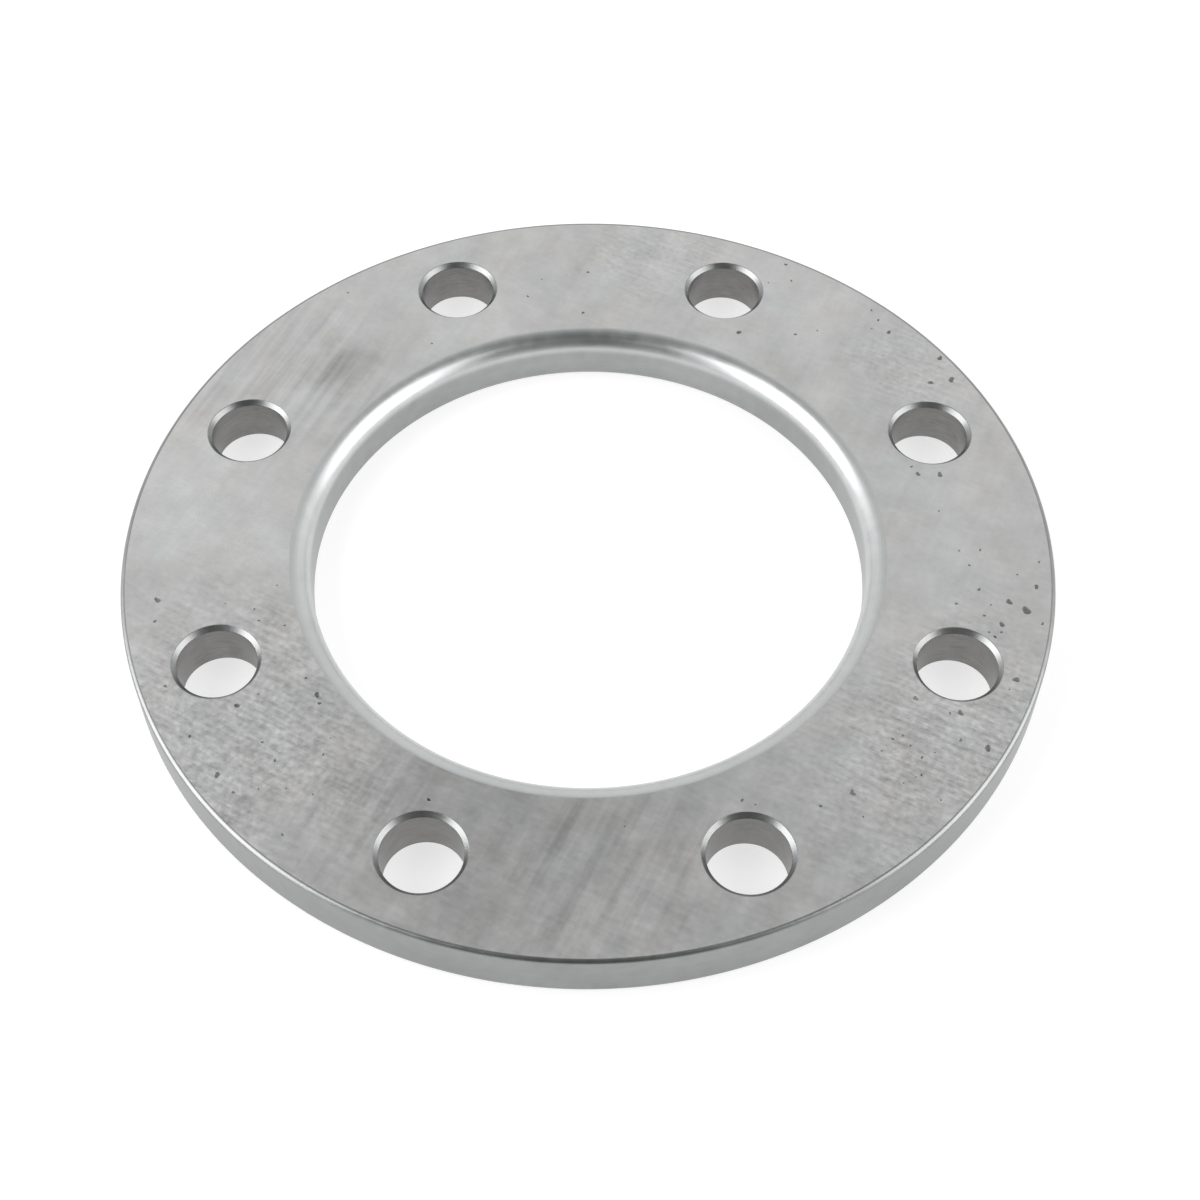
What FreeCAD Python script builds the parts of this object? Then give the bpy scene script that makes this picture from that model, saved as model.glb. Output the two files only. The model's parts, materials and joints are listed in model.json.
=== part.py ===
import FreeCAD, Part
import math
import os
import Sketcher

# Backing ring for a bolted pipe joint, machined all over from a seamless rolled ring forging.
#
# The ring is one piece of steel. It lies with its flat underside on z = 0 and the axis of its
# bore on the z axis. The mouth of the bore in the upper face has a wide round, which takes the
# fillet under the collar of the pipe end that the ring pulls up. The bolt holes straddle the x
# and y axes, as flange holes do, and are countersunk lightly in the upper face. The edges of
# the underside are only broken. Sizes are in millimetres and degrees.

NODE = "flange_ring"

DRIVING_DIMENSIONS = (
    ("outer_diameter", 215.0, "over the rim"),
    ("bore_diameter", 129.0, "clears the pipe that the ring slides over"),
    ("ring_thickness", 12.0, "underside to upper face"),
    ("bore_round_radius", 4.5, "round of the bore's mouth in the upper face"),
    ("rim_round_radius", 1.1, "round of the rim's upper edge"),
    ("bolt_circle_diameter", 178.0, "circle through the middles of the bolt holes"),
    ("bolt_hole_diameter", 18.0, "clears an M16 bolt"),
    ("bolt_hole_count", 8, "evenly spaced"),
    ("countersink_leg", 1.0, "45 degree countersink of each bolt hole in the upper face"),
    ("underside_leg", 0.5, "45 degree chamfer of every edge of the underside"),
)

FULL_TURN = 360.0
COUNTERSINK_ANGLE = 90.0

# How far an edge may lie from its nominal radius or height and still be taken for it.
EDGE_TOLERANCE = 1e-4

# How far the solid's volume may lie from the one worked out by hand, as a share of it.
VOLUME_TOLERANCE = 1e-4

# A sketch's own numbers for the points of its geometry and for its fixed origin and axes.
START, END, CENTRE = 1, 2, 3
ORIGIN = (-1, START)
HORIZONTAL_AXIS = -1


def fill_sheet(document):
    """Make the spreadsheet that drives the model: a name, a number and a note in each row."""
    sheet = document.addObject("Spreadsheet::Sheet", "dimensions")
    for row, (alias, value, note) in enumerate(DRIVING_DIMENSIONS, start=1):
        sheet.set(f"A{row}", alias)
        sheet.set(f"B{row}", str(value))
        sheet.setAlias(f"B{row}", alias)
        sheet.set(f"C{row}", note)
    document.recompute()
    return sheet


def origin_feature(body, role):
    """Return the plane or axis of the body's own origin that has this role."""
    return next(item for item in body.Origin.OriginFeatures if item.Role == role)


def new_sketch(body, name, plane_role):
    """Add an empty sketch on one of the body's origin planes."""
    sketch = body.newObject("Sketcher::SketchObject", name)
    sketch.AttachmentSupport = [(origin_feature(body, plane_role), "")]
    sketch.MapMode = "FlatFace"
    return sketch


def bind_dimension(sketch, name, expression, *constraint):
    """Add a named dimension to a sketch and bind it to the spreadsheet."""
    index = sketch.addConstraint(Sketcher.Constraint(*constraint))
    sketch.renameConstraint(index, name)
    sketch.setExpression(f".Constraints.{name}", expression)


def circular_edges(shape, radius, height):
    """Name the circles of this radius that lie level at this height."""
    names = []
    for number, edge in enumerate(shape.Edges, start=1):
        curve = edge.Curve
        if not isinstance(curve, Part.Circle):
            continue
        same_radius = abs(curve.Radius - radius) < EDGE_TOLERANCE
        same_height = abs(curve.Center.z - height) < EDGE_TOLERANCE
        if same_radius and same_height:
            names.append(f"Edge{number}")
    return names


def add_blank(body, sheet):
    """Turn the plain ring: its rectangular section, revolved about the axis of the bore."""
    inner = sheet.bore_diameter / 2
    outer = sheet.outer_diameter / 2
    top = sheet.ring_thickness
    corners = [
        FreeCAD.Vector(inner, 0, 0),
        FreeCAD.Vector(outer, 0, 0),
        FreeCAD.Vector(outer, top, 0),
        FreeCAD.Vector(inner, top, 0),
    ]
    underside, rim, upper_face, bore_wall = range(len(corners))

    sketch = new_sketch(body, "section", "XZ_Plane")
    for side, corner in enumerate(corners):
        following = (side + 1) % len(corners)
        sketch.addGeometry(Part.LineSegment(corner, corners[following]), False)
    for side in range(len(corners)):
        following = (side + 1) % len(corners)
        sketch.addConstraint(Sketcher.Constraint("Coincident", side, END, following, START))
    for side in (underside, upper_face):
        sketch.addConstraint(Sketcher.Constraint("Horizontal", side))
    for side in (rim, bore_wall):
        sketch.addConstraint(Sketcher.Constraint("Vertical", side))
    sketch.addConstraint(
        Sketcher.Constraint("PointOnObject", underside, START, HORIZONTAL_AXIS)
    )
    bind_dimension(
        sketch, "bore_radius", "dimensions.bore_diameter / 2",
        "DistanceX", *ORIGIN, underside, START, inner,
    )
    bind_dimension(
        sketch, "outer_radius", "dimensions.outer_diameter / 2",
        "DistanceX", *ORIGIN, underside, END, outer,
    )
    bind_dimension(
        sketch, "thickness", "dimensions.ring_thickness",
        "DistanceY", rim, START, rim, END, top,
    )

    blank = body.newObject("PartDesign::Revolution", "blank")
    blank.Profile = sketch
    blank.ReferenceAxis = (sketch, ["V_Axis"])
    blank.Angle = FULL_TURN
    body.Document.recompute()
    return blank


def add_round(body, base, name, edges, expression):
    """Round the named edges of the feature before."""
    fillet = body.newObject("PartDesign::Fillet", name)
    fillet.Base = (base, edges)
    fillet.setExpression("Radius", expression)
    body.Document.recompute()
    return fillet


def add_bolt_holes(body, sheet):
    """Drill one countersunk hole through the ring and repeat it round the bolt circle."""
    hole_radius = sheet.bolt_hole_diameter / 2
    circle_radius = sheet.bolt_circle_diameter / 2
    half_pitch = math.pi / sheet.bolt_hole_count
    middle = FreeCAD.Vector(math.cos(half_pitch), math.sin(half_pitch), 0) * circle_radius
    upwards = FreeCAD.Vector(0, 0, 1)
    spoke, hole = range(2)

    sketch = new_sketch(body, "first_bolt_hole", "XY_Plane")
    sketch.setExpression(".AttachmentOffset.Base.z", "dimensions.ring_thickness")
    sketch.addGeometry(Part.LineSegment(FreeCAD.Vector(), middle), True)
    sketch.addGeometry(Part.Circle(middle, upwards, hole_radius), False)
    sketch.addConstraint(Sketcher.Constraint("Coincident", spoke, START, *ORIGIN))
    sketch.addConstraint(Sketcher.Constraint("Coincident", hole, CENTRE, spoke, END))
    bind_dimension(
        sketch, "circle_radius", "dimensions.bolt_circle_diameter / 2",
        "Distance", spoke, circle_radius,
    )
    bind_dimension(
        sketch, "half_pitch", "180 deg / dimensions.bolt_hole_count",
        "Angle", HORIZONTAL_AXIS, START, spoke, START, half_pitch,
    )
    bind_dimension(
        sketch, "hole_radius", "dimensions.bolt_hole_diameter / 2",
        "Radius", hole, hole_radius,
    )
    body.Document.recompute()

    drilled = body.newObject("PartDesign::Hole", "bolt_hole")
    drilled.Profile = sketch
    drilled.DepthType = "ThroughAll"
    drilled.HoleCutType = "Countersink"
    drilled.HoleCutCustomValues = True
    drilled.HoleCutCountersinkAngle = COUNTERSINK_ANGLE
    drilled.setExpression("Diameter", "dimensions.bolt_hole_diameter")
    drilled.setExpression(
        "HoleCutDiameter", "dimensions.bolt_hole_diameter + 2 * dimensions.countersink_leg"
    )
    body.Document.recompute()

    pattern = body.newObject("PartDesign::PolarPattern", "bolt_holes")
    pattern.Originals = [drilled]
    pattern.Axis = (origin_feature(body, "Z_Axis"), [""])
    pattern.Angle = FULL_TURN
    pattern.setExpression("Occurrences", "dimensions.bolt_hole_count")
    body.Tip = pattern
    body.Document.recompute()
    return pattern


def add_underside_chamfers(body, sheet, base):
    """Break the edges of the rim, the bore and every bolt hole in the underside."""
    edges = []
    for diameter in (sheet.outer_diameter, sheet.bore_diameter, sheet.bolt_hole_diameter):
        edges += circular_edges(base.Shape, diameter / 2, 0)
    chamfer = body.newObject("PartDesign::Chamfer", "underside_edges")
    chamfer.Base = (base, edges)
    chamfer.setExpression("Size", "dimensions.underside_leg")
    body.Tip = chamfer
    body.Document.recompute()


def build_ring(document, sheet):
    """Model the ring in the order in which it is made: turned, rounded, drilled, deburred."""
    body = document.addObject("PartDesign::Body", NODE)
    body.Label = NODE
    body.Placement = FreeCAD.Placement()
    top = sheet.ring_thickness
    blank = add_blank(body, sheet)
    bore_mouth = circular_edges(blank.Shape, sheet.bore_diameter / 2, top)
    rounded = add_round(body, blank, "bore_round", bore_mouth, "dimensions.bore_round_radius")
    rim_edge = circular_edges(rounded.Shape, sheet.outer_diameter / 2, top)
    add_round(body, rounded, "rim_round", rim_edge, "dimensions.rim_round_radius")
    bolt_holes = add_bolt_holes(body, sheet)
    add_underside_chamfers(body, sheet, bolt_holes)
    return body


def round_volume(radius, fillet, side):
    """Volume that a quarter round takes off a circular edge.

    Pappus: the sectional area times the path of its centroid. The side is +1 where the metal
    lies outside the circle, as at a bore, and -1 where it lies inside, as at a rim.
    """
    area = fillet**2 * (1 - math.pi / 4)
    inset = fillet * (10 - 3 * math.pi) / (12 - 3 * math.pi)
    return math.tau * (radius + side * inset) * area


def chamfer_volume(radius, leg, side):
    """Volume that a 45 degree chamfer takes off a circular edge, worked out the same way."""
    return math.tau * (radius + side * leg / 3) * leg**2 / 2


def expected_volume(sheet):
    """Work the ring's volume out from its dimensions alone."""
    outer = sheet.outer_diameter / 2
    inner = sheet.bore_diameter / 2
    hole = sheet.bolt_hole_diameter / 2
    thickness = sheet.ring_thickness
    broken = sheet.underside_leg
    ring = math.pi * (outer**2 - inner**2) * thickness
    ring -= round_volume(inner, sheet.bore_round_radius, 1)
    ring -= round_volume(outer, sheet.rim_round_radius, -1)
    ring -= chamfer_volume(inner, broken, 1)
    ring -= chamfer_volume(outer, broken, -1)
    drilled = math.pi * hole**2 * thickness
    drilled += chamfer_volume(hole, sheet.countersink_leg, 1)
    drilled += chamfer_volume(hole, broken, 1)
    return ring - sheet.bolt_hole_count * drilled


def check_document(document):
    """Stop if any object of the document is in error."""
    for item in document.Objects:
        for fault in ("Invalid", "Error"):
            if fault in item.State:
                raise RuntimeError(f"{item.Name} is in the state {fault}")


def check_ring(shape, sheet):
    """Stop unless the ring is one valid solid of the volume that its dimensions give."""
    if shape.isNull() or not shape.isValid():
        raise RuntimeError(f"{NODE} has no valid shape")
    if len(shape.Solids) != 1:
        raise RuntimeError(f"{NODE} has {len(shape.Solids)} solids, not one")
    expected = expected_volume(sheet)
    if abs(shape.Volume - expected) > VOLUME_TOLERANCE * expected:
        raise RuntimeError(f"{NODE} holds {shape.Volume:.0f} mm3, not {expected:.0f} mm3")


def main():
    document = FreeCAD.newDocument("backing_ring")
    sheet = fill_sheet(document)
    ring = build_ring(document, sheet)
    check_document(document)
    check_ring(ring.Shape, sheet)
    os.makedirs("parts", exist_ok=True)
    ring.Shape.exportStep(f"parts/{ring.Label}.step")
    box = ring.Shape.optimalBoundingBox(True, False)
    print(f"{ring.Label}: {box.XLength:.2f} x {box.YLength:.2f} x {box.ZLength:.2f} mm")
    print(f"{ring.Label}: {ring.Shape.Volume:.0f} mm3")


main()
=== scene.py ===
import json
import math
import random

import bpy
from mathutils import Matrix, Vector
from mathutils.geometry import delaunay_2d_cdt


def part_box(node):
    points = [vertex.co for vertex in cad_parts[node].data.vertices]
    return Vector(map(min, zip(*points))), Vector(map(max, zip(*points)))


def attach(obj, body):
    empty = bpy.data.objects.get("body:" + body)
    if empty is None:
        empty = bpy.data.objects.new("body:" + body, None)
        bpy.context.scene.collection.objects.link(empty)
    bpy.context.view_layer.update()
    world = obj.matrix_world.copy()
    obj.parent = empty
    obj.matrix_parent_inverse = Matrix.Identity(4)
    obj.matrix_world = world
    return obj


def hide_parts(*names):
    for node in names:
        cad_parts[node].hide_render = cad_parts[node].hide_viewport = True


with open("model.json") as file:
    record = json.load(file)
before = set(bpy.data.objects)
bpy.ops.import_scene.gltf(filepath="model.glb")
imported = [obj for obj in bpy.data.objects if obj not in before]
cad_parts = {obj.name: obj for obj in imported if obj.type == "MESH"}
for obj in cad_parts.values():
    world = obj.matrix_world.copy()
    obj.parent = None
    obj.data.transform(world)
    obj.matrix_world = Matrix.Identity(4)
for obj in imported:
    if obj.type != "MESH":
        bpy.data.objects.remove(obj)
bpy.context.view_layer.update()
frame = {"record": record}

# The looks of a steel ring for a loose-flange joint: a fine mesh of the ring with worn edges and
# small pits, its steel surfaces, a white floor, a soft studio and the camera. Lengths are in
# metres, in the ring's own frame: the underside on z = 0, the bore along z, the x and y axes
# midway between bolt holes. Angles are in degrees, and round the ring they run from +X to +Y.

MM = 0.001
NODE = "flange_ring"

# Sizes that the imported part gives.
MOUNTS = {mount["name"]: mount for mount in frame["record"]["mounts"]}
BORE = MOUNTS["bore"]["dims"]
BOLTS = MOUNTS["bolt_circle"]["dims"]
WALL_MIDDLE = MOUNTS["bore"]["pos_m"][2]
WALL_HALF = BORE["length_mm"] * MM / 2
HIGH_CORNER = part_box(NODE)[1]
TOP = HIGH_CORNER.z
RIM_RADIUS = HIGH_CORNER.x
BORE_RADIUS = BORE["r_mm"] * MM
BORE_ROUND = TOP - WALL_MIDDLE - WALL_HALF
UNDERSIDE_LEG = WALL_MIDDLE - WALL_HALF
BOLT_CIRCLE_RADIUS = BOLTS["pcd_mm"] * MM / 2
HOLE_RADIUS = BOLTS["hole_r_mm"] * MM
HOLE_COUNT = BOLTS["count"]

# Edge sizes that no mount states, the same as in the part's source.
RIM_ROUND = 1.1 * MM
COUNTERSINK_LEG = 1.0 * MM

# How far the corners left by the cutting tools are worn round.
WORN_UPPER = 0.25 * MM
WORN_LOWER = 0.15 * MM

# How finely the mesh is divided.
RING_STEPS = 480
HOLE_STEPS = 96
BORE_ROUND_STEPS = 20
RIM_ROUND_STEPS = 8
WORN_STEPS = 3
PLATE_SPACING = 1.4 * MM

# How a flat face is triangulated: out to its hull, with points this near (mm) taken as one.
WHOLE_HULL = 0
SAME_POINT = 1e-6

# A pit's rings and depth as shares of its radius, how uneven its outline is, and how far other
# points and pits keep from it, in its radii.
PIT_STEPS = 14
PIT_LEVELS = (1.0, 0.84, 0.62, 0.34)
PIT_DEPTH_SHARE = 0.3
PIT_OVAL = 0.2
PIT_LOBES = 0.1
PIT_ROOM = 1.6
PIT_SPACING = 2

# The pits that show most on the upper face: radius (mm), angle round the ring, size (mm).
MAIN_PITS = (
    (101, -11, 2.2),
    (97, -10, 1.6),
    (103, -7, 1.3),
    (96, -14, 1.4),
    (102, -22, 1.6),
    (94, -30, 1.5),
    (103, -33, 1.7),
    (84, -31, 1.3),
    (88, -50, 1.5),
    (86, 14, 1.5),
    (81, 15, 1.2),
    (105, 34, 1.4),
    (103, 30, 1.7),
    (98, 31, 1.3),
    (101, 42, 1.2),
    (77, 61, 1.3),
    (99, -170, 1.6),
    (89, -149, 1.3),
    (73, -144, 1.4),
    (101, -141, 1.5),
)

# Fields of finer pits: from angle, to angle, from radius (mm), to radius (mm), how many.
PIT_FIELDS = (
    (-45, 5, 84, 105, 26),
    (-172, -128, 72, 105, 20),
    (5, 65, 74, 105, 10),
    (-125, -50, 72, 105, 6),
    (75, 165, 74, 105, 6),
)
FINE_PIT_SIZES = (0.4, 0.9)
SEED = 7

# The materials of the ring mesh, in the order of its material slots.
GROUND, BORED, TURNED, DRILLED, UNDERSIDE = range(5)

# Steel: two linear colours that drift into each other, and how.
COOL_STEEL = (0.536, 0.546, 0.548)
WARM_STEEL = (0.556, 0.547, 0.54)
TINT_SIZE = 15 * MM
TINT_CONTRAST = 2.0

# Patches of the upper face: radius (mm), angle round the ring, reach (mm). The first part of a
# patch's reach is the same all over.
SPECKLED = ((97, -35, 46), (95, -148, 52), (99, 35, 22), (98, 80, 24))
STREAKED = ((86, -85, 34), (97, 146, 40), (86, -125, 24))
# Painted shade: a patch on the inner front of the upper face, darker in colour.
INNER_FRONT_SHADE = (66, -97, 62)
STAIN = (82, 138, 12)
# A smoother patch with a painted highlight: less rough, and lighter in colour as painted glare.
SMOOTH_GLARE = (90, 174, 34)
PATCH_CORE = 0.25
PLAIN_SPECKLE = 0.3
PLAIN_STREAKS = 0.25

# Straight marks of the upper face: angle, length, width.
LONG_MARKS = (65, 40 * MM, 2.2 * MM)
SHORT_MARKS = (-28, 7 * MM, 1.1 * MM)

# Each finish: where its tone, roughness and relief start, how much each mark adds to them, and
# the height of the relief.
# On the upper face the darker inner front is painted shade.
GROUND_FINISH = {
    # The smoother patch's lighter tone is a painted highlight; its lower roughness is the smoother
    # steel.
    "tone": (1.0, {"cloud": 0.25, "mottle": 0.4, "speckle": 0.36, "streak": 0.5, "stain": -0.2,
                   "smooth_glare": 0.12, "inner_front_shade": -0.22, "pitted": -0.6}),
    "roughness": (0.36, {"cloud": -0.12, "mottle": 0.12, "speckle": 0.3, "stain": 0.12,
                         "smooth_glare": -0.08, "pitted": 0.3}),
    "relief": (0.0, {"speckle": 1.0, "streak": 0.6, "mottle": 0.5}),
    "height": 0.03 * MM,
}
TURNED_FINISH = {
    "tone": (0.0, {"tone_and_low_shade": 1.0, "line": 0.16, "cloud": 0.2, "mottle": 0.16}),
    "roughness": (0.36, {"line": 0.1, "mottle": 0.1, "cloud": 0.08}),
    "relief": (0.0, {"line": 1.0, "mottle": 0.5}),
    "height": 0.01 * MM,
}
# The hole walls' darker tone is partly the drilled steel and partly painted shade inside the holes.
DRILLED_AND_SHADED_FINISH = {
    "tone": (0.5, {"line": 0.3, "mottle": 0.3}),
    "roughness": (0.42, {"line": 0.15, "mottle": 0.2}),
    "relief": (0.0, {"line": 1.0, "mottle": 0.5}),
    "height": 0.02 * MM,
}
UNDERSIDE_FINISH = {
    "tone": (0.95, {"line": 0.12, "cloud": 0.25, "mottle": 0.25}),
    "roughness": (0.38, {"line": 0.1, "cloud": -0.1, "mottle": 0.15}),
    "relief": (0.0, {"line": 1.0, "mottle": 0.5}),
    "height": 0.015 * MM,
}

# Turned steel: tones of the bore's round, of its wall and of the rim, and where they meet. The
# bore's wall is darker low down as painted shade.
ROUND_TONE = 1.0
WALL_TONE_AND_SHADE = 0.66
RIM_TONE = 0.54
LOW_SHADE_BAND = (TOP - 1.1 * BORE_ROUND, TOP - 0.65 * BORE_ROUND)

# How much finer the drill's marks are up a hole's wall than round it.
DRILL_STRETCH = (0.12, 0.12, 1.0)

# The studio: brightness 1 is white. The floor fades to plain white between two distances from
# the bore's axis. The room dims overhead, and it is dark round one direction (azimuth,
# elevation), between two angles from it. Bands are ranges of the upward part of a direction.
FLOOR_RADIUS = 8.0
FLOOR_STEPS = 96
FLOOR_GAP = 0.02 * MM
FLOOR_TONE = 0.8
FLOOR_GLOW = 0.68
FLOOR_SHADOW_SHARE = 0.42
FLOOR_FADE = (0.2, 0.7)
HORIZON_LEVEL = 1.0
OVERHEAD_LEVEL = 0.35
OVERHEAD_BAND = (0.7, 0.97)
DARK_SIDE = (180, 45)
DARK_REACH = (58, 36)
DARK_LEVEL = 0.15
DARK_BAND = (0.04, 0.12)
WATTS_PER_LEVEL = 4.0

# Soft lamps: name, azimuth, elevation, distance, width, height, level.
SOFTBOXES = (
    ("left_softbox", -98, 29, 1.05, 1.0, 1.15, 2.45),
    ("right_softbox", 98, 29, 1.05, 0.95, 1.15, 1.75),
)

# The camera, as it stands for the photograph.
CAMERA_DISTANCE = 0.4788
CAMERA_AZIMUTH = 179.184
CAMERA_ELEVATION = 52.547
CAMERA_PAN = -0.3203
CAMERA_TILT = -0.7533
CAMERA_ROLL = -0.4439
SENSOR_WIDTH = 36
LENS = 60.744
CAMERA_REACH = (0.01, 100)

UP = Vector((0, 0, 1))


# ---------------------------------------------------------------- mesh


def around(radius, angle, height=0.0):
    """The point at this radius and angle (radians) about the bore's axis."""
    return Vector((radius * math.cos(angle), radius * math.sin(angle), height))


def rounded_profile(corners):
    """Round the corners of a section and return its points with their outward normals.

    Corners are (radius, height, corner radius, steps), walked with the metal on the left. The
    first and last only say which way the section arrives and leaves. Points returned are
    (radius, height, outward part of the normal, upward part of the normal).
    """
    places = [Vector(corner[:2]) for corner in corners]
    profile = []
    for index in range(1, len(corners) - 1):
        corner_radius, steps = corners[index][2:]
        arriving = (places[index] - places[index - 1]).normalized()
        leaving = (places[index + 1] - places[index]).normalized()
        turn = math.acos(arriving.dot(leaving))
        first_normal = Vector((arriving.y, -arriving.x))
        tangent_point = places[index] - arriving * corner_radius * math.tan(turn / 2)
        centre = tangent_point - first_normal * corner_radius
        for step in range(steps + 1):
            normal = Matrix.Rotation(turn * step / steps, 2) @ first_normal
            place = centre + normal * corner_radius
            profile.append((*place, *normal))
    return profile


def bore_profile():
    """The bore from the upper face down: the large round, the wall and the small chamfer."""
    return rounded_profile((
        (RIM_RADIUS, TOP),
        (BORE_RADIUS, TOP, BORE_ROUND, BORE_ROUND_STEPS),
        (BORE_RADIUS, UNDERSIDE_LEG, WORN_LOWER, WORN_STEPS),
        (BORE_RADIUS + UNDERSIDE_LEG, 0, WORN_LOWER, WORN_STEPS),
        (RIM_RADIUS, 0),
    ))


def rim_profile():
    """The rim from the underside up: the small chamfer, the wall and the round."""
    return rounded_profile((
        (0, 0),
        (RIM_RADIUS - UNDERSIDE_LEG, 0, WORN_LOWER, WORN_STEPS),
        (RIM_RADIUS, UNDERSIDE_LEG, WORN_LOWER, WORN_STEPS),
        (RIM_RADIUS, TOP, RIM_ROUND, RIM_ROUND_STEPS),
        (0, TOP),
    ))


def hole_profile():
    """A bolt hole from the upper face down: the countersink, the wall and the small chamfer."""
    return rounded_profile((
        (RIM_RADIUS, TOP),
        (HOLE_RADIUS + COUNTERSINK_LEG, TOP, WORN_UPPER, WORN_STEPS),
        (HOLE_RADIUS, TOP - COUNTERSINK_LEG, WORN_UPPER, WORN_STEPS),
        (HOLE_RADIUS, UNDERSIDE_LEG, WORN_LOWER, WORN_STEPS),
        (HOLE_RADIUS + UNDERSIDE_LEG, 0, WORN_LOWER, WORN_STEPS),
        (RIM_RADIUS, 0),
    ))


def hole_finish(height):
    """A hole's countersink is cut as bright as the bore; its wall is left as drilled, and painted
    darker as shade inside the hole.
    """
    return TURNED if height > TOP - COUNTERSINK_LEG else DRILLED


class RingMesh:
    """Vertices with their normals and wear, and faces with a finish each, added part by part."""

    def __init__(self):
        self.places = []
        self.normals = []
        self.wear = []
        self.faces = []
        self.finishes = []

    def add_vertex(self, place, normal, wear=0.0):
        self.places.append(place)
        self.normals.append(normal)
        self.wear.append(wear)
        return len(self.places) - 1

    def add_face(self, corners, finish):
        self.faces.append(corners)
        self.finishes.append(finish)

    def sweep(self, profile, centre, steps, finish_at):
        """Turn a profile about an upright axis. Returns its first and last loops of vertices."""
        loops = []
        for radius, height, outward, upward in profile:
            loop = []
            for step in range(steps):
                angle = math.tau * step / steps
                place = centre + around(radius, angle, height)
                loop.append(self.add_vertex(place, around(outward, angle, upward)))
            loops.append(loop)
        for loop, following, start, end in zip(loops, loops[1:], profile, profile[1:]):
            finish = finish_at((start[1] + end[1]) / 2)
            for step in range(steps):
                after = (step + 1) % steps
                self.add_face((loop[step], loop[after], following[after], following[step]), finish)
        return loops[0], loops[-1]

    def plate(self, outer_loop, inner_loops, added, edges, facing, finish):
        """Fill a flat face between loops of vertices, through the added vertices."""
        loops = [outer_loop, *inner_loops]
        vertices = [vertex for loop in loops for vertex in loop] + added
        borders = []
        start = 0
        for loop in loops:
            count = len(loop)
            borders += [(start + step, start + (step + 1) % count) for step in range(count)]
            start += count
        flat = [Vector(self.places[vertex][:2]) / MM for vertex in vertices]
        triangles = delaunay_2d_cdt(flat, borders, [], WHOLE_HULL, SAME_POINT)[2]
        for triangle in triangles:
            corners = [vertices[corner] for corner in triangle]
            middle = sum((self.places[corner] for corner in corners), Vector()) / 3
            if room_on_face(middle, edges) > 0:
                self.add_face(corners[::facing], finish)

    def to_object(self, name, materials):
        mesh = bpy.data.meshes.new(name)
        mesh.from_pydata(self.places, [], self.faces)
        for material in materials:
            mesh.materials.append(material)
        mesh.polygons.foreach_set("material_index", self.finishes)
        mesh.polygons.foreach_set("use_smooth", [True] * len(self.faces))
        wear = mesh.attributes.new("wear", "FLOAT", "POINT")
        wear.data.foreach_set("value", self.wear)
        mesh.normals_split_custom_set_from_vertices(self.normals)
        piece = bpy.data.objects.new(name, mesh)
        bpy.context.collection.objects.link(piece)
        return piece


# ---------------------------------------------------------------- the ring

HOLE_PITCH = math.tau / HOLE_COUNT
HOLE_CENTRES = [around(BOLT_CIRCLE_RADIUS, HOLE_PITCH * (hole + 0.5)) for hole in range(HOLE_COUNT)]

# Radii of the bore, rim and hole edges of each flat face.
UPPER_EDGES = (bore_profile()[0][0], rim_profile()[-1][0], hole_profile()[0][0])
LOWER_EDGES = (bore_profile()[-1][0], rim_profile()[0][0], hole_profile()[-1][0])


def room_on_face(place, edges):
    """How far a point is inside a flat face whose bore, rim and hole edges have these radii."""
    bore_edge, rim_edge, hole_edge = edges
    flat = Vector((place.x, place.y, 0))
    room = min(flat.length - bore_edge, rim_edge - flat.length)
    return min(room, *((flat - centre).length - hole_edge for centre in HOLE_CENTRES))


def grid_places(edges, height, pits):
    """Staggered rings of points on a flat face, clear of its edges and of the pits."""
    bore_edge, rim_edge = edges[:2]
    rows = round((rim_edge - bore_edge) / PLATE_SPACING)
    places = []
    for row in range(1, rows):
        radius = bore_edge + (rim_edge - bore_edge) * row / rows
        for step in range(RING_STEPS):
            place = around(radius, math.tau * (step + row % 2 / 2) / RING_STEPS, height)
            clear = all((place - centre).length > PIT_ROOM * size for centre, size in pits)
            if clear and room_on_face(place, edges) > PLATE_SPACING / 2:
                places.append(place)
    return places


def choose_pits(edges, draw):
    """The placed pits and the seeded fine ones, as (centre, radius), none of them touching."""
    pits = [
        (around(radius * MM, math.radians(angle), TOP), size * MM / 2)
        for radius, angle, size in MAIN_PITS
    ]
    for from_angle, to_angle, from_radius, to_radius, count in PIT_FIELDS:
        wanted = len(pits) + count
        while len(pits) < wanted:
            angle = math.radians(draw.uniform(from_angle, to_angle))
            centre = around(draw.uniform(from_radius, to_radius) * MM, angle, TOP)
            size = draw.uniform(*FINE_PIT_SIZES) * MM / 2
            apart = all(
                (centre - other).length > PIT_SPACING * (size + other_size)
                for other, other_size in pits
            )
            if apart and room_on_face(centre, edges) > PIT_SPACING * size:
                pits.append((centre, size))
    return pits


def add_pit(ring, centre, size, draw):
    """Add the vertices of one shallow crater with an uneven outline."""
    oval, lobes = draw.uniform(0, math.tau), draw.uniform(0, math.tau)
    vertices = []
    for level in PIT_LEVELS:
        depth = PIT_DEPTH_SHARE * size * (1 - level**3)
        normal = Vector((0, 0, 1 if level == 1 else 0))
        for step in range(PIT_STEPS):
            angle = math.tau * step / PIT_STEPS
            uneven = PIT_OVAL * math.sin(2 * angle + oval) + PIT_LOBES * math.sin(3 * angle + lobes)
            place = centre + around(size * level * (1 + uneven), angle, -depth)
            vertices.append(ring.add_vertex(place, normal, wear=0.0 if level == 1 else 1.0))
    bottom = centre - Vector((0, 0, PIT_DEPTH_SHARE * size))
    vertices.append(ring.add_vertex(bottom, Vector(), wear=1.0))
    return vertices


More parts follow.
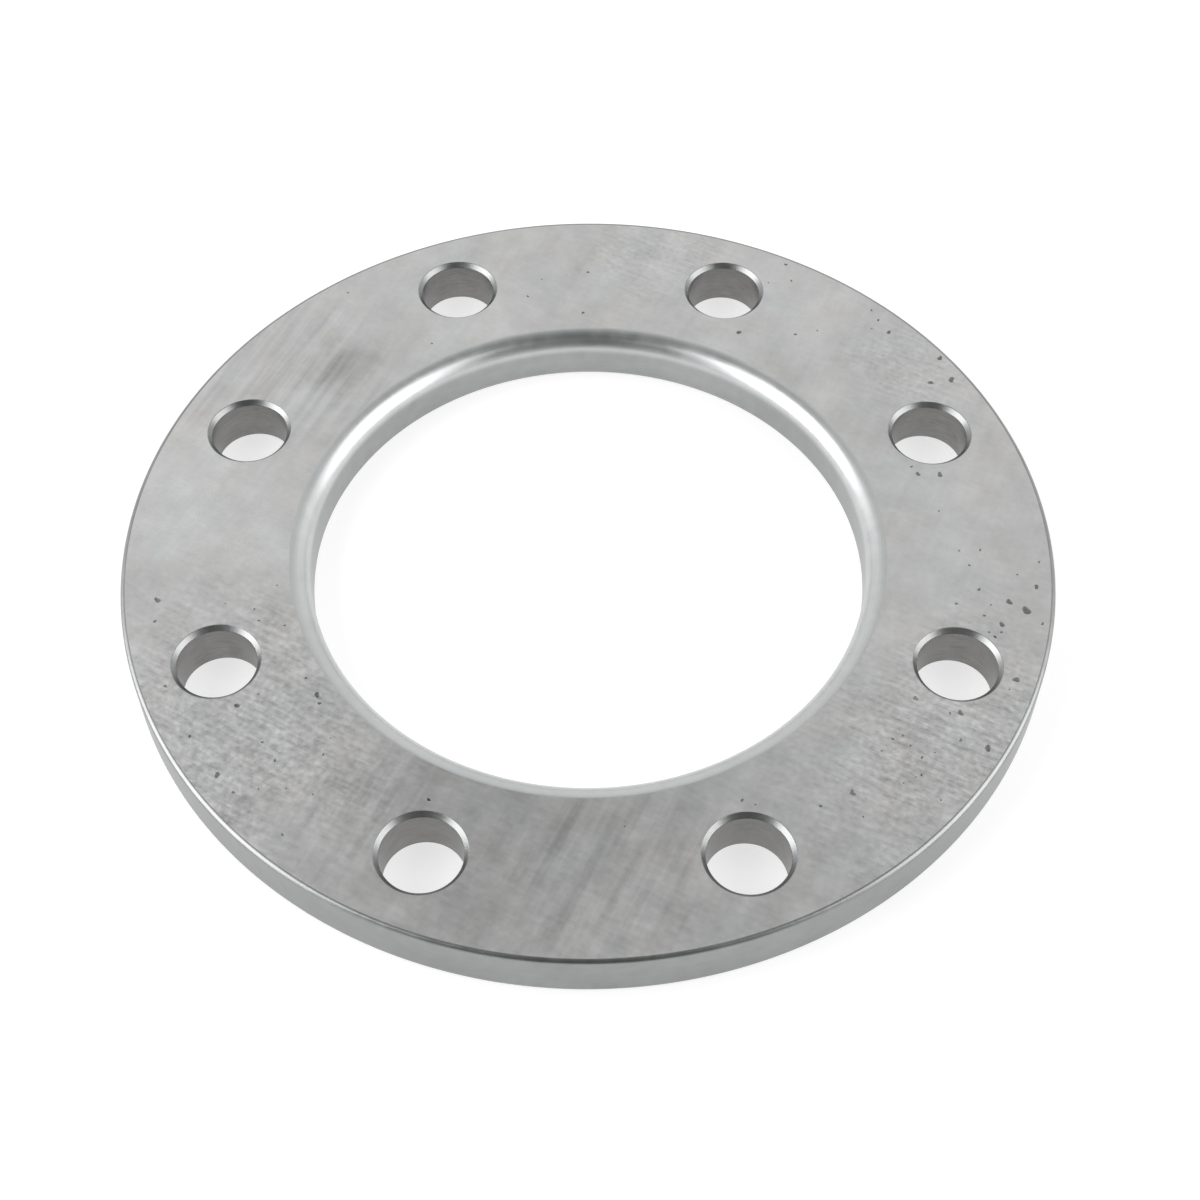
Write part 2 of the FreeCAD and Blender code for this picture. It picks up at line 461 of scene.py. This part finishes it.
def build_ring(materials):
    """The whole ring as one watertight mesh."""
    draw = random.Random(SEED)
    ring = RingMesh()
    axis = Vector()
    bore_top, bore_bottom = ring.sweep(bore_profile(), axis, RING_STEPS, lambda height: BORED)
    rim_bottom, rim_top = ring.sweep(rim_profile(), axis, RING_STEPS, lambda height: TURNED)
    holes = [
        ring.sweep(hole_profile(), centre, HOLE_STEPS, hole_finish) for centre in HOLE_CENTRES
    ]
    pits = choose_pits(UPPER_EDGES, draw)
    added = [ring.add_vertex(place, UP) for place in grid_places(UPPER_EDGES, TOP, pits)]
    for centre, size in pits:
        added += add_pit(ring, centre, size, draw)
    inner_loops = [bore_top, *(hole[0] for hole in holes)]
    ring.plate(rim_top, inner_loops, added, UPPER_EDGES, 1, GROUND)
    added = [ring.add_vertex(place, -UP) for place in grid_places(LOWER_EDGES, 0, [])]
    inner_loops = [bore_bottom, *(hole[1] for hole in holes)]
    ring.plate(rim_bottom, inner_loops, added, LOWER_EDGES, -1, UNDERSIDE)
    return ring.to_object("ring", materials)


# ---------------------------------------------------------------- node helpers


def feed(tree, socket, value):
    """Link an output to a socket, or set the socket's own value."""
    if isinstance(value, bpy.types.NodeSocket):
        tree.links.new(value, socket)
    else:
        socket.default_value = value


def add_node(tree, kind, inputs, **settings):
    """Add a node, set it up and return it. Inputs are socket names or numbers with values."""
    node = tree.nodes.new(kind)
    for setting, value in settings.items():
        setattr(node, setting, value)
    for socket, value in inputs.items():
        feed(tree, node.inputs[socket], value)
    return node


def maths(tree, operation, *values):
    node = add_node(tree, "ShaderNodeMath", dict(enumerate(values)), operation=operation)
    return node.outputs[0]


def vector_maths(tree, operation, *values):
    node = add_node(tree, "ShaderNodeVectorMath", dict(enumerate(values)), operation=operation)
    return node.outputs["Value" if operation in ("LENGTH", "DOT_PRODUCT") else "Vector"]


def remap(tree, value, low, high, new_low, new_high):
    """Carry a value smoothly from one range to another, and hold it at the ends."""
    inputs = {"Value": value, "From Min": low, "From Max": high}
    inputs.update({"To Min": new_low, "To Max": new_high})
    node = add_node(tree, "ShaderNodeMapRange", inputs, interpolation_type="SMOOTHSTEP")
    return node.outputs["Result"]


def noise(tree, where, size, detail=2.0, roughness=0.5):
    """Smooth noise from about -0.5 to 0.5, with features of this size in metres."""
    inputs = {"Vector": where, "Scale": 1 / size, "Detail": detail, "Roughness": roughness}
    factor = add_node(tree, "ShaderNodeTexNoise", inputs).outputs["Fac"]
    return maths(tree, "SUBTRACT", factor, 0.5)


def layered(tree, start, layers):
    """A number plus each layer's value times its amount."""
    total = start
    for value, amount in layers:
        total = maths(tree, "MULTIPLY_ADD", value, amount, total)
    return total


def mix_colours(tree, factor, first, second):
    inputs = {0: factor, 4: first, 5: second}
    node = add_node(tree, "ShaderNodeMix", inputs, data_type="VECTOR", clamp_factor=True)
    return node.outputs[1]


def tinted(tree, brightness, colour):
    """A colour made brighter or darker by a number."""
    return vector_maths(tree, "MULTIPLY", colour, brightness)


# ---------------------------------------------------------------- steel


def start_steel(name):
    """A new material and its tree, with the metal shader and the place in metres."""
    material = bpy.data.materials.new(name)
    material.use_nodes = True
    tree = material.node_tree
    shader = tree.nodes["Principled BSDF"]
    shader.inputs["Metallic"].default_value = 1.0
    where = add_node(tree, "ShaderNodeTexCoord", {}).outputs["Object"]
    return material, tree, shader, where


def steel_colour(tree, where):
    """Bare steel that drifts between its cool and its warm colour."""
    drift = noise(tree, where, TINT_SIZE)
    tint = maths(tree, "MULTIPLY_ADD", drift, TINT_CONTRAST, 0.5)
    return mix_colours(tree, tint, COOL_STEEL, WARM_STEEL)


def marked(tree, start, amounts, marks):
    """A number plus so much of each named mark."""
    return layered(tree, start, [(marks[mark], amount) for mark, amount in amounts.items()])


def finish_steel(tree, shader, finish, marks, colour):
    """Work the shader's colour, roughness and bump out from a finish and its named marks."""
    tone, roughness, relief = (
        marked(tree, *finish[part], marks) for part in ("tone", "roughness", "relief")
    )
    feed(tree, shader.inputs["Base Color"], tinted(tree, tone, colour))
    feed(tree, shader.inputs["Roughness"], roughness)
    inputs = {"Strength": 1.0, "Distance": finish["height"], "Height": relief}
    bump = add_node(tree, "ShaderNodeBump", inputs)
    feed(tree, shader.inputs["Normal"], bump.outputs["Normal"])


def patch(tree, where, radius, angle, reach):
    """1 at a point of the face, falling unevenly to 0 at this reach (all in mm and degrees)."""
    centre = around(radius * MM, math.radians(angle), TOP)
    wobble = noise(tree, where, reach * MM / 2)
    away = vector_maths(tree, "LENGTH", vector_maths(tree, "SUBTRACT", where, tuple(centre)))
    away = maths(tree, "MULTIPLY_ADD", wobble, reach * MM, away)
    return remap(tree, away, PATCH_CORE * reach * MM, reach * MM, 1.0, 0.0)


def patches(tree, where, start, places):
    """How strongly marks show: a little all over, and fully inside these patches."""
    return layered(tree, start, [(patch(tree, where, *place), 1.0) for place in places])


def in_section(tree, where):
    """The place as a radius and a height, which is the same all the way round the ring."""
    radius = vector_maths(tree, "LENGTH", vector_maths(tree, "MULTIPLY", where, (1, 1, 0)))
    height = add_node(tree, "ShaderNodeSeparateXYZ", {"Vector": where}).outputs["Z"]
    return add_node(tree, "ShaderNodeCombineXYZ", {"X": radius, "Z": height}).outputs["Vector"]


def streaks(tree, where, angle, length, width):
    """Straight marks across the face, as a grinder leaves them."""
    inputs = {"Vector": where, "Rotation": (0, 0, math.radians(-angle))}
    turned = add_node(tree, "ShaderNodeMapping", inputs).outputs["Vector"]
    inputs = {"Vector": turned, "Scale": (1 / length, 1 / width, 1 / width)}
    stretched = add_node(tree, "ShaderNodeMapping", inputs).outputs["Vector"]
    return noise(tree, stretched, 1.0, detail=3.0)


def ground_steel():
    """The upper face: clouded, faintly streaked, speckled towards the rim, with dark pits, painted
    shade on its inner front and a painted highlight on a smoother patch.
    """
    material, tree, shader, where = start_steel("ground_steel")
    grain = noise(tree, where, 1.3 * MM)
    speckle = maths(tree, "ADD", grain, streaks(tree, where, *SHORT_MARKS))
    speckled = patches(tree, where, PLAIN_SPECKLE, SPECKLED)
    streaked = patches(tree, where, PLAIN_STREAKS, STREAKED)
    wear = add_node(tree, "ShaderNodeAttribute", {}, attribute_name="wear")
    marks = {
        "cloud": noise(tree, where, 26 * MM),
        "mottle": noise(tree, where, 7 * MM, detail=4.0, roughness=0.6),
        "speckle": maths(tree, "MULTIPLY", speckle, speckled),
        "streak": maths(tree, "MULTIPLY", streaks(tree, where, *LONG_MARKS), streaked),
        "stain": patch(tree, where, *STAIN),
        # smoother steel with a painted highlight
        "smooth_glare": patch(tree, where, *SMOOTH_GLARE),
        # painted shade on the inner front of the face
        "inner_front_shade": patch(tree, where, *INNER_FRONT_SHADE),
        "pitted": wear.outputs["Fac"],
    }
    finish_steel(tree, shader, GROUND_FINISH, marks, steel_colour(tree, where))
    return material


def turned_steel(name, upper_tone, lower_tone_and_shade):
    """A surface cut on the lathe, with fine lines round the ring and its own tone low down; in the
    bore, that darker tone low down is painted shade.
    """
    material, tree, shader, where = start_steel(name)
    height = add_node(tree, "ShaderNodeSeparateXYZ", {"Vector": where}).outputs["Z"]
    marks = {
        # in the bore this darkens the wall low down: painted shade
        "tone_and_low_shade": remap(tree, height, *LOW_SHADE_BAND, lower_tone_and_shade, upper_tone),
        "line": noise(tree, in_section(tree, where), 0.35 * MM),
        "cloud": noise(tree, where, 18 * MM),
        "mottle": noise(tree, where, 3 * MM, detail=3.0),
    }
    finish_steel(tree, shader, TURNED_FINISH, marks, COOL_STEEL)
    return material


def shaded_drilled_steel():
    """The walls of the bolt holes: rougher, with the drill's marks round them, and darker in
    colour, partly as painted shade inside the holes.
    """
    material, tree, shader, where = start_steel("shaded_drilled_steel")
    stretched = add_node(tree, "ShaderNodeMapping", {"Vector": where, "Scale": DRILL_STRETCH})
    marks = {
        "line": noise(tree, stretched.outputs["Vector"], 0.4 * MM, detail=3.0),
        "mottle": noise(tree, where, 4 * MM, detail=3.0),
    }
    finish_steel(tree, shader, DRILLED_AND_SHADED_FINISH, marks, WARM_STEEL)
    return material


def underside_steel():
    """The underside: the same matte steel as the upper face, with plain turning lines."""
    material, tree, shader, where = start_steel("underside_steel")
    marks = {
        "line": noise(tree, in_section(tree, where), 0.5 * MM),
        "cloud": noise(tree, where, 24 * MM),
        "mottle": noise(tree, where, 5 * MM, detail=4.0),
    }
    finish_steel(tree, shader, UNDERSIDE_FINISH, marks, steel_colour(tree, where))
    return material


# ---------------------------------------------------------------- studio


def add_floor():
    """A floor that keeps the ring's shadow and turns plain white away from it.

    Metal mirrors it as the camera sees it; as a source of light it is plain pale paper.
    """
    mesh = bpy.data.meshes.new("floor")
    turns = [math.tau * step / FLOOR_STEPS for step in range(FLOOR_STEPS)]
    corners = [around(FLOOR_RADIUS, turn, -FLOOR_GAP) for turn in turns]
    mesh.from_pydata(corners, [], [tuple(range(FLOOR_STEPS))])
    material = bpy.data.materials.new("floor_paper")
    material.use_nodes = True
    tree = material.node_tree
    tree.nodes.clear()
    path = add_node(tree, "ShaderNodeLightPath", {}).outputs
    seen = maths(tree, "MAXIMUM", path["Is Camera Ray"], path["Is Glossy Ray"])
    seen = maths(tree, "MAXIMUM", seen, path["Is Transmission Ray"])
    lit = add_node(tree, "ShaderNodeBsdfDiffuse", {"Color": grey(FLOOR_TONE)}).outputs[0]
    shaded = add_node(tree, "ShaderNodeBsdfDiffuse", {"Color": grey(FLOOR_SHADOW_SHARE)}).outputs[0]
    glow = {"Color": grey(1), "Strength": FLOOR_GLOW}
    glow = add_node(tree, "ShaderNodeEmission", glow).outputs[0]
    near = add_node(tree, "ShaderNodeAddShader", {0: shaded, 1: glow}).outputs[0]
    far = add_node(tree, "ShaderNodeEmission", {"Color": grey(1)}).outputs[0]
    where = add_node(tree, "ShaderNodeTexCoord", {}).outputs["Object"]
    farness = remap(tree, vector_maths(tree, "LENGTH", where), *FLOOR_FADE, 0.0, 1.0)
    white = add_node(tree, "ShaderNodeMixShader", {0: farness, 1: near, 2: far}).outputs[0]
    mixed = add_node(tree, "ShaderNodeMixShader", {0: seen, 1: lit, 2: white}).outputs[0]
    add_node(tree, "ShaderNodeOutputMaterial", {"Surface": mixed})
    mesh.materials.append(material)
    floor = bpy.data.objects.new("floor", mesh)
    bpy.context.collection.objects.link(floor)


def grey(level):
    return (level, level, level, 1.0)


def direction(azimuth, elevation):
    """The unit vector at an azimuth from +Y towards +X and an elevation, in degrees."""
    turn, rise = math.radians(azimuth), math.radians(elevation)
    flat = math.cos(rise)
    return Vector((flat * math.sin(turn), flat * math.cos(turn), math.sin(rise)))


def add_world():
    """A pale room: white at the horizon, dimmer overhead and dark where the camera stands."""
    world = bpy.data.worlds.new("studio")
    bpy.context.scene.world = world
    world.use_nodes = True
    tree = world.node_tree
    way = add_node(tree, "ShaderNodeTexCoord", {}).outputs["Generated"]
    rise = add_node(tree, "ShaderNodeSeparateXYZ", {"Vector": way}).outputs["Z"]
    room = remap(tree, rise, *OVERHEAD_BAND, HORIZON_LEVEL, OVERHEAD_LEVEL)
    nearness = vector_maths(tree, "DOT_PRODUCT", way, tuple(direction(*DARK_SIDE)))
    edge, core = (math.cos(math.radians(reach)) for reach in DARK_REACH)
    shade = remap(tree, nearness, edge, core, 0.0, 1.0)
    above = remap(tree, rise, *DARK_BAND, 0.0, 1.0 - DARK_LEVEL)
    kept = maths(tree, "SUBTRACT", 1.0, maths(tree, "MULTIPLY", shade, above))
    level = maths(tree, "MULTIPLY", room, kept)
    feed(tree, tree.nodes["Background"].inputs["Strength"], level)
    tree.nodes["Background"].inputs["Color"].default_value = grey(1)


def add_softbox(name, azimuth, elevation, distance, width, height, level):
    """A soft lamp that faces the ring. Its level is how bright its face is, where 1 is white."""
    lamp = bpy.data.lights.new(name, "AREA")
    lamp.shape = "RECTANGLE"
    lamp.size, lamp.size_y = width, height
    lamp.energy = level * width * height * WATTS_PER_LEVEL
    softbox = bpy.data.objects.new(name, lamp)
    bpy.context.collection.objects.link(softbox)
    way = direction(azimuth, elevation)
    softbox.location = way * distance
    softbox.rotation_euler = (-way).to_track_quat("-Z", "Y").to_euler()
    softbox.visible_camera = False


def add_camera():
    """The camera in front of the ring and above it, with its slight pan, tilt and roll."""
    data = bpy.data.cameras.new("camera")
    data.sensor_width = SENSOR_WIDTH
    data.lens = LENS
    data.clip_start, data.clip_end = CAMERA_REACH
    camera = bpy.data.objects.new("camera", data)
    bpy.context.collection.objects.link(camera)
    back = direction(CAMERA_AZIMUTH, CAMERA_ELEVATION)
    aim = (-back).to_track_quat("-Z", "Y").to_matrix().to_4x4()
    pan, tilt, roll = (math.radians(angle) for angle in (CAMERA_PAN, CAMERA_TILT, CAMERA_ROLL))
    for angle, axis in ((pan, "Y"), (tilt, "X"), (roll, "Z")):
        aim = aim @ Matrix.Rotation(angle, 4, axis)
    camera.matrix_world = Matrix.Translation(back * CAMERA_DISTANCE) @ aim
    bpy.context.scene.camera = camera


add_floor()
add_world()
for softbox in SOFTBOXES:
    add_softbox(*softbox)
add_camera()
bpy.context.scene.view_settings.view_transform = "Standard"

ring = build_ring([
    ground_steel(),
    # The bore's wall is painted darker low down, as painted shade.
    turned_steel("bored_steel_shaded_low", ROUND_TONE, WALL_TONE_AND_SHADE),
    turned_steel("turned_steel", RIM_TONE, RIM_TONE),
    shaded_drilled_steel(),
    underside_steel(),
])
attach(ring, "root")
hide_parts(NODE)
